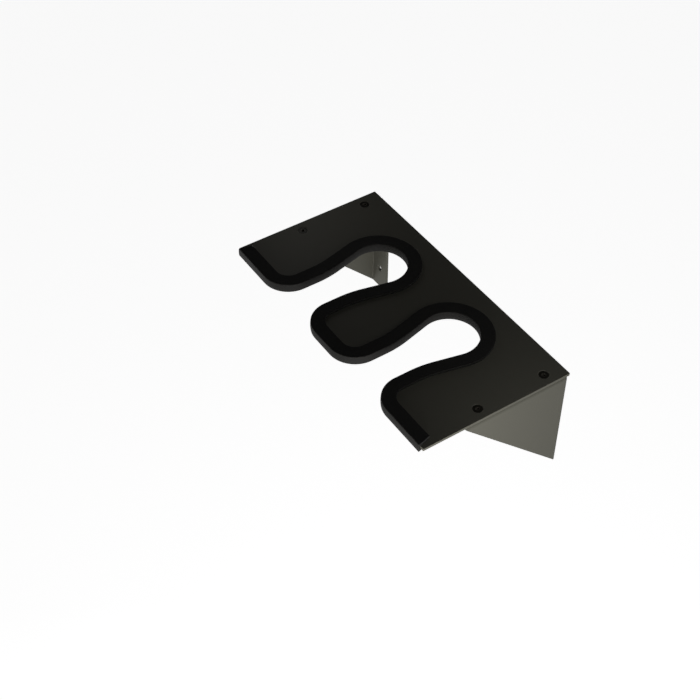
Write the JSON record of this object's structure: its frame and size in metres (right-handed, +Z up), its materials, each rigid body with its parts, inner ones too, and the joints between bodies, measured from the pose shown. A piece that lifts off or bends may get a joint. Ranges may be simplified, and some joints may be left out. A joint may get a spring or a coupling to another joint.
{
  "type": "wall boot rack",
  "caption": "Wall-mounted steel rack with two soft-edged keyhole slots that hold a pair of boots upside down by the ankles.",
  "frame": {"origin": "centre of the four wall screw holes, on the wall plane", "axes": "+Y into the wall, so the rack stands out towards -Y; +X along the wall, to the right seen from the room; +Z up"},
  "size_m": [0.293, 0.1546, 0.1149],
  "materials": {
    "powder_coat": "dark olive-black powder coat, fine texture",
    "edging": "matte black soft rubber",
    "black_oxide": "black oxide steel",
    "zinc": "bright zinc plate"
  },
  "bodies": {
    "root": {"top_plate": "powder_coat", "edge_trim": "edging", "bracket_right": "powder_coat", "bracket_left": "powder_coat", "screw_right_rear": "black_oxide", "washer_right_rear": "zinc", "nut_right_rear": "zinc", "screw_right_front": "black_oxide", "washer_right_front": "zinc", "nut_right_front": "zinc", "screw_left_rear": "black_oxide", "washer_left_rear": "zinc", "nut_left_rear": "zinc", "screw_left_front": "black_oxide", "washer_left_front": "zinc", "nut_left_front": "zinc"}
  },
  "joints": []
}
